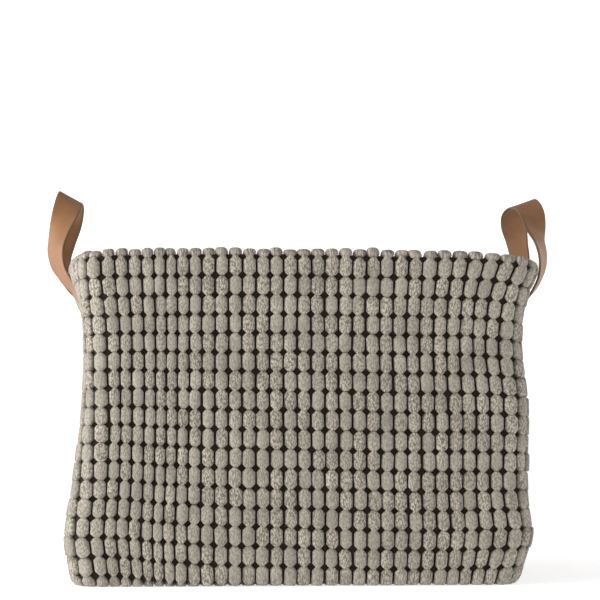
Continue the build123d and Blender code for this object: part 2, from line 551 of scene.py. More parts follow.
def pile_material(colours):
    """Curly pile: loops a millimetre across in upright ribs, pale at the tip, with painted shade low on the
    tufts' sides and in the hollows between the loops.
    """
    material, nodes, links, surface = finish_material("Pile", 0.95, 0.12, 0.2, 0.6)
    place = node(nodes, "ShaderNodeTexCoord").outputs["Object"]
    uv = node(nodes, "ShaderNodeUVMap", uv_map="Weave").outputs[0]
    rise = node(nodes, "ShaderNodeAttribute", attribute_name="rise").outputs["Fac"]
    tone = node(nodes, "ShaderNodeAttribute", attribute_name="tone").outputs["Fac"]
    drawn = node(nodes, "ShaderNodeMapping")
    drawn.inputs["Scale"].default_value = (1.0, 0.5, 1.0)
    links.new(uv, drawn.inputs["Vector"])
    warp = noise_node(nodes, links, uv, 900, 2.0)
    bent = node(nodes, "ShaderNodeVectorMath", operation="MULTIPLY_ADD")
    links.new(warp.outputs["Color"], bent.inputs[0])
    bent.inputs[1].default_value = (0.0011, 0.0011, 0.0011)
    links.new(drawn.outputs[0], bent.inputs[2])
    curls = node(nodes, "ShaderNodeTexVoronoi", feature="SMOOTH_F1")
    curls.inputs["Scale"].default_value = 800
    curls.inputs["Smoothness"].default_value = 0.25
    links.new(bent.outputs[0], curls.inputs["Vector"])
    fibre = noise_node(nodes, links, place, 2400, 3.0, 0.6)
    patch = noise_node(nodes, links, place, 40, 2.0)
    # Painted shade: the pile darkens towards the edges of its curls, for the shade in the hollows between the
    # loops
    pit_shade = node(nodes, "ShaderNodeValToRGB")
    pit_shade.color_ramp.elements[0].position = 0.16
    pit_shade.color_ramp.elements[1].position = 0.70
    pit_shade.color_ramp.elements[0].color = (1, 1, 1, 1)
    pit_shade.color_ramp.elements[1].color = (0.28, 0.265, 0.25, 1)
    links.new(curls.outputs["Distance"], pit_shade.inputs["Fac"])
    # Painted shade: each tuft darkens from tip to root by its rise, for the shade that falls low between the
    # tufts
    side = node(nodes, "ShaderNodeValToRGB")
    side.color_ramp.elements[0].position = 0.05
    side.color_ramp.elements[1].position = 0.80
    links.new(rise, side.inputs["Fac"])
    body = mixed(nodes, links, side.outputs["Color"], colours.pile_root_shade, colours.pile_tip)
    shade = scaled(nodes, links, tone, 0.34, 0.76)
    tuft = mixed(nodes, links, 1.0, body, shade, "MULTIPLY")
    worn = scaled(nodes, links, patch.outputs["Fac"], 0.7, 0.63)
    worn_tuft = mixed(nodes, links, 1.0, tuft, worn, "MULTIPLY")
    # Painted shade: how strongly each tuft gets the painted shade between its loops, at random from tuft to
    # tuft
    pit_shade_amount = scaled(nodes, links, tone, 0.6, 0.5)
    curled = mixed(nodes, links, pit_shade_amount, worn_tuft, pit_shade.outputs["Color"], "MULTIPLY")
    links.new(curled, surface.inputs["Base Color"])
    nub = arithmetic(nodes, links, "SUBTRACT", 1.0, curls.outputs["Distance"])
    fine = arithmetic(nodes, links, "MULTIPLY", fibre.outputs["Fac"], 0.35)
    bumped(nodes, links, surface, arithmetic(nodes, links, "ADD", nub, fine), 1.0, 0.0007)
    return material


def weave_height(nodes, links, source, threads_per_metre):
    """Height of a plain weave read from a UV map in metres."""
    split = node(nodes, "ShaderNodeSeparateXYZ")
    links.new(source, split.inputs[0])
    turns = math.pi * threads_per_metre
    warp = arithmetic(nodes, links, "SINE", arithmetic(nodes, links, "MULTIPLY", split.outputs[0], turns), 0)
    weft = arithmetic(nodes, links, "SINE", arithmetic(nodes, links, "MULTIPLY", split.outputs[1], turns), 0)
    over = arithmetic(nodes, links, "MULTIPLY", warp, weft)
    return arithmetic(nodes, links, "ABSOLUTE", over, 0), over


def woven_material(name, base, threads_per_metre, roughness, depth, variation):
    """A plain woven cloth that follows its own UV map, with painted shade in the hollows of its weave."""
    material, nodes, links, surface = finish_material(name, roughness, 0.2, 0.15, 0.5)
    place = node(nodes, "ShaderNodeTexCoord")
    uv = node(nodes, "ShaderNodeUVMap", uv_map="Weave").outputs[0]
    height, over = weave_height(nodes, links, uv, threads_per_metre)
    slub = noise_node(nodes, links, uv, threads_per_metre / 12, 3.0)
    patch = noise_node(nodes, links, place.outputs["Object"], 30, 2.0)
    amount = arithmetic(nodes, links, "ADD", slub.outputs["Fac"], patch.outputs["Fac"])
    shade = scaled(nodes, links, amount, variation, 1.0 - variation)
    # Painted shade: the cloth is darker where its weave is low, in the hollows between the threads
    weave_hollow_shade = scaled(nodes, links, height, 0.35, 0.72)
    both = arithmetic(nodes, links, "MULTIPLY", shade, weave_hollow_shade)
    links.new(mixed(nodes, links, 1.0, base, both, "MULTIPLY"), surface.inputs["Base Color"])
    bumped(nodes, links, surface, arithmetic(nodes, links, "ADD", height, slub.outputs["Fac"]), 0.6, depth)
    return material


def felt_material(colours):
    """Pressed felt: short fibres every way, with darker specks."""
    material, nodes, links, surface = finish_material("Felt", 0.95, 0.1, 0.2)
    place = node(nodes, "ShaderNodeTexCoord").outputs["Object"]
    fibre = noise_node(nodes, links, place, 700, 4.0, 0.7, 1.5)
    shade = scaled(nodes, links, fibre.outputs["Fac"], 0.5, 0.7)
    links.new(mixed(nodes, links, 1.0, colours.felt, shade, "MULTIPLY"), surface.inputs["Base Color"])
    bumped(nodes, links, surface, fibre.outputs["Fac"], 0.5, 0.0005)
    return material


def board_material(colours):
    """Pressed fibreboard."""
    material, nodes, links, surface = finish_material("Board", 0.75, 0.3)
    place = node(nodes, "ShaderNodeTexCoord").outputs["Object"]
    chips = noise_node(nodes, links, place, 260, 4.0, 0.6, 0.8)
    shade = scaled(nodes, links, chips.outputs["Fac"], 0.7, 0.6)
    links.new(mixed(nodes, links, 1.0, colours.board, shade, "MULTIPLY"), surface.inputs["Base Color"])
    bumped(nodes, links, surface, chips.outputs["Fac"], 0.2, 0.0003)
    return material


def leather_material(name, base, roughness, pore, depth, edge_shade):
    """Leather: fine grain, slow patches of colour and darker burnished edges."""
    material, nodes, links, surface = finish_material(name, roughness, 0.45)
    place = node(nodes, "ShaderNodeTexCoord").outputs["Object"]
    edge = node(nodes, "ShaderNodeAttribute", attribute_name="edge").outputs["Fac"]
    grain = node(nodes, "ShaderNodeTexVoronoi", feature="DISTANCE_TO_EDGE")
    grain.inputs["Scale"].default_value = pore
    links.new(place, grain.inputs["Vector"])
    fine = noise_node(nodes, links, place, 1500, 4.0, 0.65)
    patch = noise_node(nodes, links, place, 55, 3.0, 0.55)
    shade = scaled(nodes, links, patch.outputs["Fac"], 0.55, 0.72)
    speck = scaled(nodes, links, fine.outputs["Fac"], 0.3, 0.85)
    body = mixed(
        nodes, links, 1.0, base, arithmetic(nodes, links, "MULTIPLY", shade, speck), "MULTIPLY"
    )
    rim = node(nodes, "ShaderNodeValToRGB")
    rim.color_ramp.elements[0].position = 0.80
    rim.color_ramp.elements[1].position = 0.97
    links.new(edge, rim.inputs["Fac"])
    dark = tuple(c * edge_shade for c in list(base)[:3]) + (1,)
    links.new(mixed(nodes, links, rim.outputs["Color"], body, dark), surface.inputs["Base Color"])
    height = arithmetic(nodes, links, "ADD", grain.outputs["Distance"], fine.outputs["Fac"])
    bumped(nodes, links, surface, height, 0.35, depth)
    dull = scaled(nodes, links, fine.outputs["Fac"], 0.25, roughness - 0.12)
    links.new(dull, surface.inputs["Roughness"])
    return material


def thread_material(colours):
    """Twisted sewing thread."""
    material, nodes, links, surface = finish_material("Thread", 0.7, 0.3, 0.1)
    place = node(nodes, "ShaderNodeTexCoord").outputs["Object"]
    twist = noise_node(nodes, links, place, 1800, 2.0, 0.5, 2.0)
    shade = scaled(nodes, links, twist.outputs["Fac"], 0.7, 0.6)
    links.new(mixed(nodes, links, 1.0, colours.thread, shade, "MULTIPLY"), surface.inputs["Base Color"])
    bumped(nodes, links, surface, twist.outputs["Fac"], 0.5, 0.0003)
    return material


def paper_material():
    """The pale ground that the bin stands on."""
    material, nodes, links, surface = finish_material("Paper", 0.9, 0.1)
    surface.inputs["Emission Color"].default_value = (1, 1, 1, 1)
    surface.inputs["Emission Strength"].default_value = 0.55
    place = node(nodes, "ShaderNodeTexCoord").outputs["Object"]
    tooth = noise_node(nodes, links, place, 4, 3.0)
    shade = scaled(nodes, links, tooth.outputs["Fac"], 0.015, 0.985)
    links.new(
        mixed(nodes, links, 1.0, (0.85, 0.85, 0.85, 1), shade, "MULTIPLY"), surface.inputs["Base Color"]
    )
    return material


def material_for(name, context):
    """The material of that name, made the first time it is asked for."""
    found = bpy.data.materials.get(name)
    if found:
        return found
    colours = context.scene.bin_colours
    makers = {
        "Pile": lambda: pile_material(colours),
        "Ground": lambda: woven_material("Ground", colours.ground, 1100, 0.9, 0.0003, 0.3),
        "Lining": lambda: woven_material("Lining", colours.lining, 1250, 0.9, 0.0003, 0.12),
        "Tape": lambda: woven_material("Tape", colours.ground, 1400, 0.9, 0.0002, 0.3),
        "Felt": lambda: felt_material(colours),
        "Board": lambda: board_material(colours),
        "Leather": lambda: leather_material("Leather", colours.leather, 0.48, 900, 0.0002, 0.5),
        "Flesh": lambda: leather_material("Flesh", colours.flesh, 0.85, 500, 0.0004, 0.45),
        "Thread": lambda: thread_material(colours),
        "Paper": paper_material,
    }
    return makers[name]()


# ---------------------------------------------------------------- cloth, felt and lining


def wall_layer(name, sizes, columns, drops, outside, inside, material, closed):
    """A layer of the wall over some columns and drops, between two depths behind the ground cloth.
    A closed layer runs all the way round."""
    u, v = np.meshgrid(columns, drops, indexing="ij")
    place = wall_point(sizes, u, v)
    out = wall_normal(sizes, u, v)
    depths = [depth(u, v) if callable(depth) else depth for depth in (outside, inside)]
    backs = [np.broadcast_to(depth, u.shape) for depth in depths]
    points = np.concatenate([(place - back[..., None] * out).reshape(-1, 3) for back in backs])
    wide, tall = u.shape
    total = wide * tall
    faces = []
    last = wide if closed else wide - 1
    for i in range(last):
        a, b = i * tall, (i + 1) % wide * tall
        for j in range(tall - 1):
            faces.append((a + j, a + j + 1, b + j + 1, b + j))
            faces.append((total + a + j, total + b + j, total + b + j + 1, total + a + j + 1))
        faces.append((a, b, total + b, total + a))
        end = tall - 1
        faces.append((a + end, total + a + end, total + b + end, b + end))
    if not closed:
        for j in range(tall - 1):
            faces.append((j, total + j, total + j + 1, j + 1))
            k = (wide - 1) * tall + j
            faces.append((k, k + 1, total + k + 1, total + k))
    piece = mesh_piece(name, points, faces, material)
    across = np.tile(u.ravel() * column_pitch(sizes), 2)
    lay_uv(piece, across, np.tile(v.ravel(), 2))
    return piece


def tuft_shape(sizes, cuts=(), gap=1.0, rise=1.0, corner=1.0):
    """One tuft: a pillow with cut corners, narrow at its root and rounded on top. Returns its points and
    faces. cuts are the eighths of its length where it can bend; gap, rise and corner scale the usual ones."""
    deselect()
    width = column_pitch(sizes) - gap * sizes.tuft_gap
    length = sizes.tuft_length * TUFT_OVERLAP
    rise = rise * sizes.tuft_rise
    foot = TUFT_FOOT * rise
    bpy.ops.mesh.primitive_cube_add(size=1, location=(0, 0, foot / 2), scale=(width, length, foot))
    tuft = named("tuft")
    settle(tuft)
    bpy.ops.object.mode_set(mode="EDIT")
    bpy.ops.mesh.select_mode(type="EDGE")
    bpy.ops.mesh.select_all(action="DESELECT")
    bpy.ops.object.mode_set(mode="OBJECT")
    for edge in tuft.data.edges:
        ends = [tuft.data.vertices[n].co for n in edge.vertices]
        edge.select = abs(ends[0].z - ends[1].z) > foot / 2
    bpy.ops.object.mode_set(mode="EDIT")
    bpy.ops.mesh.bevel(
        offset=corner * sizes.tuft_corner, segments=2, profile=TUFT_HOLLOW, affect="EDGES"
    )
    bpy.ops.mesh.select_mode(type="FACE")
    bpy.ops.mesh.select_all(action="DESELECT")
    bpy.ops.object.mode_set(mode="OBJECT")
    top = max(tuft.data.polygons, key=lambda p: p.center.z)
    top.select = True
    bpy.ops.object.mode_set(mode="EDIT")
    level, wide, long = TUFT_FOOT, 1.0, 1.0
    for next_level, next_wide, next_long in TUFT_DOME:
        lift = (next_level - level) * rise
        bpy.ops.mesh.extrude_region_move(TRANSFORM_OT_translate={"value": (0, 0, lift)})
        bpy.ops.transform.resize(value=(next_wide / wide, next_long / long, 1), center_override=(0, 0, 0))
        level, wide, long = next_level, next_wide, next_long
    for cut in cuts:
        bpy.ops.mesh.select_all(action="SELECT")
        bpy.ops.mesh.bisect(plane_co=(0, cut * length / 8, 0), plane_no=(0, 1, 0))
    bpy.ops.object.mode_set(mode="OBJECT")
    points = np.array([v.co for v in tuft.data.vertices], float)
    faces = [tuple(p.vertices) for p in tuft.data.polygons]
    points[points[:, 2] < foot / 2, :2] *= TUFT_ROOT
    bpy.data.meshes.remove(tuft.data)
    return points, faces


def lay_tufts(name, sizes, tuft, places, seed, material):
    """Copies of a tuft laid on the wall's cloth, one at each (column, drop) place."""
    shape, faces = tuft
    draw = np.random.default_rng(seed)
    count = len(places)
    turn_spread, width_spread, length_spread, rise_spread, lean_spread = TUFT_SPREAD
    spin = np.radians(draw.normal(0, turn_spread, count))[:, None]
    grow = 1 + draw.normal(0, width_spread, (count, 1))
    stretch = 1 + draw.normal(0, length_spread, (count, 1))
    lift = 1 + draw.normal(0, rise_spread, (count, 1))
    lean = draw.normal(0, lean_spread, (count, 2))
    a = shape[None, :, 0] * grow
    b = shape[None, :, 1] * stretch
    c = shape[None, :, 2] * lift
    across = a * np.cos(spin) - b * np.sin(spin) + lean[:, :1] * c
    along = a * np.sin(spin) + b * np.cos(spin) + lean[:, 1:] * c
    places = np.asarray(places, float)
    u = places[:, :1] + across / column_pitch(sizes)
    v = places[:, 1:] - along
    u, v = slipped(sizes, u, v)
    c = pressed(sizes, u, v, c)
    spots = wall_point(sizes, u, v) + c[..., None] * wall_normal(sizes, u, v)
    spots[..., 2] = np.maximum(spots[..., 2], 0)
    piece = mesh_piece(name, spots.reshape(-1, 3), copied_faces(faces, len(shape), count), material)
    lay_uv(piece, u.ravel() * column_pitch(sizes), v.ravel())
    mark(piece, "rise", np.tile(shape[:, 2] / sizes.tuft_rise, count))
    mark(piece, "tone", np.repeat(draw.random(count), len(shape)))
    return piece


def slipped(sizes, u, v):
    """Where the cloth has crept: rows slip near the base and columns bunch at the front left corner."""
    share = (u / sizes.columns) % 1.0
    depth = ease((v - SLIP_FROM) / SLIP_OVER)
    slip = MM * smooth_line(ROW_SLIP, share) * depth
    left = u - sizes.columns * np.round(u / sizes.columns)
    moves = [size * np.exp(-(((left - middle) / spread) ** 2)) for size, middle, spread in (BUNCHED, EASED)]
    return u + moves[0] * ease((v - BUNCH_FROM) / BUNCH_OVER) + moves[1], v + slip


def row_centres(sizes):
    """Drops of the rim row, the outer rows and the rows turned under the base, and inside the rim."""
    pitch = sizes.tuft_length
    rim = [FIRST_ROW - pitch / 2]
    outer = [FIRST_ROW + (n + 0.5) * pitch for n in range(sizes.rows)]
    under = [FIRST_ROW + (sizes.rows + n + 0.5) * pitch for n in range(2)]
    facing = [FIRST_ROW - (n + 1.5) * pitch for n in range(2)]
    return rim, outer, under, facing


class BIN_OT_wall_cloth(bpy.types.Operator):
    """Lay the dark ground cloth over the rim, down the walls and under the base"""

    bl_idname = "bin.wall_cloth"
    bl_label = "Wall cloth"

    def execute(self, context):
        sizes = context.scene.bin_sizes
        columns = np.arange(0, sizes.columns, 0.5)
        quarter = math.pi / 2 * sizes.fold_radius
        seam = base_seam(sizes)
        drops = np.concatenate(
            [
                np.linspace(-FACING_DROP, -quarter, 8, endpoint=False),
                np.linspace(-quarter, quarter, 9, endpoint=False),
                np.linspace(quarter, seam - SEAM_WIDTH, 40, endpoint=False),
                np.linspace(seam - SEAM_WIDTH, seam, 9),
            ]
        )
        cloth = wall_layer(
            "wall_cloth", sizes, columns, drops, 0.0, sizes.ground, material_for("Ground", context), True
        )
        belongs(cloth, "pile_cloth", "outer_wall")
        sizes.columns * column_pitch(sizes)
        return {"FINISHED"}


class BIN_OT_wall_pile(bpy.types.Operator):
    """Lay the tufts on the wall cloth, side by side in columns and rows"""

    bl_idname = "bin.wall_pile"
    bl_label = "Wall pile"

    def execute(self, context):
        sizes = context.scene.bin_sizes
        pile = material_for("Pile", context)
        pitch = column_pitch(sizes)
        flat = tuft_shape(sizes)
        bent = tuft_shape(sizes, TUFT_CUTS)
        # Over the rim the pile splays, so its tufts are wider and their ends squarer
        splayed = tuft_shape(sizes, TUFT_CUTS, gap=0.4, rise=1.04, corner=0.7)
        rim, outer, under, facing = row_centres(sizes)
        half_corner = (wall_lengths(sizes)[2] / 2) / pitch
        start = COLUMN_START - half_corner
        bounds = [0.0]
        for side in range(4):
            bounds.append(column_of(sizes, side, wall_lengths(sizes)[side % 2] / 2) + half_corner)
        columns = np.arange(sizes.columns) + COLUMN_START
        for number, side in enumerate(SIDES):
            low, high = bounds[number], bounds[number + 1]
            shifted = (columns - start) % sizes.columns + start
            if number == 0:
                mine = [u for u in shifted if start <= u < high]
            elif number == 3:
                mine = [u for u in shifted if low <= u < sizes.columns + start]
            else:
                mine = [u for u in shifted if low <= u < high]
            places = [(u, v) for u in mine for v in outer]
            piece = lay_tufts(f"{side}_pile", sizes, flat, places, 11 + number, pile)
            turned = [(u, v) for u in mine for v in under]
            hem = lay_tufts(f"{side}_base_turn", sizes, bent, turned, 21 + number, pile)
            for made in (piece, hem):
                belongs(made, "pile_cloth")
        for name, drops, seed, shape in (("rim_pile", rim, 31, splayed), ("facing_pile", facing, 32, flat)):
            piece = lay_tufts(name, sizes, shape, [(u, v) for u in columns for v in drops], seed, pile)
            belongs(piece, "pile_cloth")
        return {"FINISHED"}


def under_base(sizes, height, shrink):
    """The outline round the underside at a height, drawn in by a length from the seam of the wall cloth."""
    u = np.arange(RING_POINTS) * sizes.columns / RING_POINTS
    ring = wall_point(sizes, u, base_seam(sizes))
    inward = -wall_normal(sizes, u, drop_to(sizes, RIM_HEIGHT / 3))
    inward[:, 2] = 0
    ring = ring + shrink * unit(inward)
    ring[:, 2] = height
    return ring


def flat_panel(name, ring, low, high, material, wave=0.0):
    """A flat panel inside an outline, from one height to another, with soft waves if it is cloth."""
    count = len(ring)
    steps = np.linspace(1, 0, 15)[:-1]
    centre = ring.mean(axis=0)
    layers = []
    for height in (high, low):
        rings = [centre + (ring - centre) * k for k in steps]
        sheet = np.concatenate([*rings, centre[None]])
        sheet[:, 2] = height
        if wave:
            x, y = sheet[:, 0], sheet[:, 1]
            sheet[:, 2] += wave * (
                np.sin(31 * x + 17 * y) * np.sin(23 * y - 9 * x + 1) + 0.5 * np.sin(57 * x - 40 * y)
            )
        layers.append(sheet)
    total = len(layers[0])
    faces = []
    for k in range(len(steps)):
        for i in range(count):
            j = (i + 1) % count
            if k == len(steps) - 1:
                tri = (k * count + i, k * count + j, total - 1)
            else:
                tri = (k * count + i, k * count + j, (k + 1) * count + j, (k + 1) * count + i)
            faces.append(tri)
            faces.append(tuple(total + n for n in reversed(tri)))
    for i in range(count):
        j = (i + 1) % count
        faces.append((i, total + i, total + j, j))
    points = np.concatenate(layers)
    piece = mesh_piece(name, points, faces, material, smooth=False)
    face_outwards(piece)
    bpy.ops.object.shade_smooth_by_angle(angle=math.radians(40))
    lay_uv(piece, points[:, 0], points[:, 1])
    return piece


class BIN_OT_base(bpy.types.Operator):
    """Make the base: its cloth and pile, the board and the seam tape"""

    bl_idname = "bin.base"
    bl_label = "Base"

    def execute(self, context):
        sizes = context.scene.bin_sizes
        ring = under_base(sizes, BASE_HEIGHT, -BASE_LAP)
        base = flat_panel(
            "base_cloth", ring, BASE_HEIGHT, BASE_HEIGHT + sizes.ground, material_for("Ground", context)
        )
        belongs(base, "pile_cloth", "outer_base")
        pitch = column_pitch(sizes)
        shape, faces = tuft_shape(sizes)
        inner = under_base(sizes, 0.0, PILE_INSET)[:, :2]
        centre = ring.mean(axis=0)
        places = []
        for i in range(-BASE_COLUMNS, BASE_COLUMNS + 1):
            for j in range(-BASE_ROWS, BASE_ROWS + 1):
                spot = np.array([centre[0] + i * pitch, centre[1] + j * sizes.tuft_length])
                if inside_outline(spot, inner):
                    places.append(spot)
        draw = np.random.default_rng(41)
        count = len(places)
        lift = 1 + draw.normal(0, BASE_SPREAD, (count, 1))
        places = np.array(places)
        x = places[:, :1] + shape[None, :, 0]
        y = places[:, 1:] + shape[None, :, 1]
        z = BASE_HEIGHT - shape[None, :, 2] * lift
        pressed_flat = np.where(z < 0, -BASE_GIVE * z, z)
        points = np.stack([x, y, np.clip(pressed_flat, 0, None)], axis=-1).reshape(-1, 3)
        turned_over = [tuple(reversed(face)) for face in faces]
        pile_faces = copied_faces(turned_over, len(shape), count)
        pile = mesh_piece("base_pile", points, pile_faces, material_for("Pile", context))
        lay_uv(pile, points[:, 0], points[:, 1])
        mark(pile, "rise", np.tile(shape[:, 2] / sizes.tuft_rise, count))
        mark(pile, "tone", np.repeat(draw.random(count), len(shape)))
        belongs(pile, "pile_cloth")

        board_low = BASE_HEIGHT + sizes.ground + LOOSE
        board_high = board_low + sizes.board
        board_ring = under_base(sizes, 0.0, -BOARD_LAP)
        board = flat_panel("pressed_board", board_ring, board_low, board_high, material_for("Board", context))
        belongs(board, "base_board", "base_board")

        columns = np.arange(0, sizes.columns, 0.5)
        seam = base_seam(sizes)
        drops = np.linspace(drop_to(sizes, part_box("base_seam_tape")[1][2]), seam - TAPE_TURN, 6)
        front = sizes.ground + LOOSE
        tape = wall_layer(
            "seam_tape", sizes, columns, drops, front, front + TAPE, material_for("Tape", context), True
        )
        belongs(tape, "seam_tape", "base_seam_tape")
        sizes.columns * column_pitch(sizes)
        return {"FINISHED"}


def inside_outline(spot, outline):
    """Whether a place in plan lies inside a closed outline."""
    ahead = np.roll(outline, -1, axis=0)
    crosses = (outline[:, 1] > spot[1]) != (ahead[:, 1] > spot[1])
    run = ahead[:, 0] - outline[:, 0]
    at = outline[:, 0] + (spot[1] - outline[:, 1]) * run / np.where(crosses, ahead[:, 1] - outline[:, 1], 1)
    return bool(np.count_nonzero(crosses & (at > spot[0])) % 2)


def ruffles(sizes, reach):
    """Soft wrinkles of the lining, standing inwards, as a depth at each (u, v)."""

    def depth(u, v):
        turn = 2 * np.pi * u / sizes.columns
        wrinkle = (
            0.5 * np.sin(11 * turn + 90 * v + 0.7)
            + 0.35 * np.sin(23 * turn - 45.5 * v + 2.0)
            + 0.25 * np.sin(37 * turn + 60 * v)
            + 0.5 * np.sin(5 * turn + 22 * v + 4.0)
        )
        away = ease((v - drop_to(sizes, FACING_LOW)) / 0.03) * ease((drop_to(sizes, 0.012) - v) / 0.02)
        return reach * (0.9 + wrinkle) * away

    return depth


def hung_folds(sizes, columns, drops, face, cotton):
    """How far the lining stands off the felt at each column and drop, as a slack cloth hung between
    the rim and the base comes to rest."""
    u, v = np.meshgrid(columns, drops, indexing="ij")
    wrinkle = ruffles(sizes, sizes.wrinkle)(u, v)
    out = wall_normal(sizes, u, v)
    start = wall_point(sizes, u, v) - (face + wrinkle)[..., None] * out
    wide, tall = u.shape
    faces = []
    for i in range(wide):
        a, b = i * tall, (i + 1) % wide * tall
        for j in range(tall - 1):
            faces.append((a + j, a + j + 1, b + j + 1, b + j))
    piece = mesh_piece("hung_lining", start.reshape(-1, 3), faces, cotton)
    held = piece.vertex_groups.new(name="held")
    rows = np.tile(np.arange(tall), wide)
    free_from = int(np.searchsorted(drops, drop_to(sizes, FACING_LOW)))
    fast = np.nonzero((rows <= free_from) | (rows >= tall - 2))[0]
    held.add(fast.tolist(), 1.0, "REPLACE")
    cloth = piece.modifiers.new("Cloth", "CLOTH")
    cloth.settings.quality = 6
    cloth.settings.mass = 0.12
    cloth.settings.tension_stiffness = 12
    cloth.settings.compression_stiffness = 12
    cloth.settings.shear_stiffness = 4
    cloth.settings.bending_stiffness = 0.08
    cloth.settings.shrink_min = -0.03
    cloth.settings.vertex_group_mass = "held"
    cloth.collision_settings.use_collision = False
    scene = bpy.context.scene
    for step in range(1, SETTLING_STEPS + 1):
        scene.frame_set(step)
    depsgraph = bpy.context.evaluated_depsgraph_get()
    rested = np.zeros(len(start.reshape(-1, 3)) * 3, np.float32)
    piece.evaluated_get(depsgraph).data.vertices.foreach_get("co", rested)
    scene.frame_set(1)
    moved = ((rested.reshape(start.shape) - start) * -out).sum(axis=-1)
    bpy.data.objects.remove(piece)
    # Beyond its reach the cloth would press into the felt, or crowd what is stored
    return np.clip(wrinkle + moved, 0.0, WRINKLE_REACH)


class BIN_OT_inner_layers(bpy.types.Operator):
    """Make the felt panels with their patches, and the cotton lining"""

    bl_idname = "bin.inner_layers"
    bl_label = "Felt and lining"

    def execute(self, context):
        sizes = context.scene.bin_sizes
        felt = material_for("Felt", context)
        front = sizes.ground + LOOSE
        back = front + sizes.felt
        pocket = sizes.patch + LOOSE / 2
        pitch = column_pitch(sizes)
        tape_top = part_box("base_seam_tape")[1][2]
        under_rim = drop_to(sizes, RIM_HEIGHT - sizes.tuft_rise - sizes.fold_radius)
        middles = {f"{strap}_{end}": column for strap, end, column in sewn_ends(sizes)}
        patch_low, patch_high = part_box("left_front_patch")[0][2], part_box("left_front_patch")[1][2]
        patch_half = (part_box("left_front_patch")[1][1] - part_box("left_front_patch")[0][1]) / 2

        def panel_back(u, v):
            """The back of a panel, with a pocket for each patch."""
            depth = np.full(u.shape, back)
            for column in middles.values():
                beside = np.abs(u - column) * pitch < patch_half + LOOSE
                level = (v > drop_to(sizes, patch_high) - LOOSE) & (v < drop_to(sizes, patch_low) + LOOSE)
                depth = np.where(beside & level, back - pocket, depth)
            return depth

        for number, side in enumerate(SIDES):
            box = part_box(f"{side}_stiffener")
            reach = (box[1][number % 2] - box[0][number % 2]) / 2
            low, high = column_of(sizes, number, -reach), column_of(sizes, number, reach)
            edges = [low, high]
            for column in middles.values():
                for half in (patch_half + 0.9 * LOOSE, patch_half + 3 * LOOSE):
                    edges += [column - half / pitch, column + half / pitch]
            columns = [u for u in sorted([*np.linspace(low, high, 60), *edges]) if low <= u <= high]
            drops = list(np.linspace(under_rim, drop_to(sizes, tape_top + LOOSE), 50))
            for level, way in ((patch_high, -1), (patch_low, 1)):
                drops += [drop_to(sizes, level) + way * 0.9 * LOOSE, drop_to(sizes, level) + way * 3 * LOOSE]
            drops = sorted(drops)
            panel = wall_layer(
                f"{side}_felt", sizes, np.array(columns), np.array(drops), front, panel_back, felt, False
            )
            belongs(panel, "stiffener_felt", f"{side}_stiffener")
        for name, column in middles.items():
            half = patch_half / pitch
            columns = np.linspace(column - half, column + half, 9)
            drops = np.linspace(drop_to(sizes, patch_high), drop_to(sizes, patch_low), 14)
            patch = wall_layer(
                f"{name}_backing", sizes, columns, drops, back - sizes.patch, back, felt, False
            )
            belongs(patch, "stiffener_felt", f"{name}_patch")

        cotton = material_for("Lining", context)
        face = back + LOOSE
        columns = np.arange(0, sizes.columns, 0.5)
        lining_foot = BASE_HEIGHT + sizes.ground + LOOSE + sizes.board + LOOSE
        drops = np.linspace(under_rim, drop_to(sizes, lining_foot), 48)
        slack = hung_folds(sizes, columns, drops, face, cotton)
        wall = wall_layer(
            "cotton_wall",
            sizes,
            columns,
            drops,
            lambda u, v: face + slack,
            lambda u, v: face + sizes.cotton + slack,
            cotton,
            True,
        )
        wall.modifiers.new("Softened", "SUBSURF")
        wall.modifiers["Softened"].levels = 1
        wall.modifiers["Softened"].render_levels = 1
        only(wall)
        bpy.ops.object.modifier_apply(modifier="Softened")
        belongs(wall, "lining_cloth", "lining_wall")
        u = np.arange(RING_POINTS) * sizes.columns / RING_POINTS
        foot = drop_to(sizes, lining_foot + 0.0005)
        ring = wall_point(sizes, u, foot) - (face + sizes.cotton + 0.0003) * wall_normal(sizes, u, foot)
        floor = flat_panel(
            "cotton_base", ring, lining_foot, lining_foot + sizes.cotton, cotton, wave=0.0004
        )
        belongs(floor, "lining_cloth", "lining_base")
        return {"FINISHED"}


# ---------------------------------------------------------------- straps and stitches

# The free loop of each strap above its sewn end, from the near fold over the crest to the far one, as
# (distance out, place along Y, height, turn of the leather in degrees), in millimetres.
LEFT_HALF = [
    (186.6, -60, 238, 1), (189.8, -60, 246, 8), (195.2, -60.5, 256, 13), (203.2, -60.5, 266.5, 20),
    (209.6, -60.5, 277.5, 27), (212, -58.5, 293, 37), (209.8, -54.5, 305, 49), (206.3, -45, 319.5, 72),
    (203.6, -30, 332.5, 94), (202, -15, 341.5, 110), (201.5, 0, 344.8, 119),
]
LEFT_LOOP = [*LEFT_HALF, *[(out, -y, z, turn) for out, y, z, turn in reversed(LEFT_HALF[:-1])]]
RIGHT_LOOP = [
    (200.5, -60, 238, 1), (207.5, -60, 246, 5), (216, -60.5, 256.5, 9), (222, -60.5, 266.5, 14),
    (225.2, -60.5, 277.5, 20), (226, -59, 288, 26), (224.8, -56, 298, 34), (221.6, -50, 309, 48),
    (221.5, -40, 322, 68), (221.5, -22, 335, 92), (218.5, 0, 342.5, 110), (215, 22, 335.5, 96),
    (217.5, 40, 322, 72), (221.6, 50, 310, 50), (225, 56, 298, 40), (226, 59, 288, 30),
    (225.2, 60.5, 277.5, 20), (222, 60.5, 266.5, 14), (216, 60.5, 256.5, 9), (207.5, 60, 246, 5),
    (200.5, 60, 238, 1),
]


def smooth_path(points, step):
    """Points a step apart along a smooth curve through some given ones, each a row of numbers."""
    points = np.array(points, float)
    run = np.linalg.norm(np.diff(points[:, :3], axis=0), axis=1)
    at = np.concatenate([[0], np.cumsum(run)])
    places = np.linspace(0, at[-1], int(round(at[-1] / step)) + 1)
    return np.stack([smooth_line(np.stack([at, column], axis=1), places) for column in points.T], axis=1)


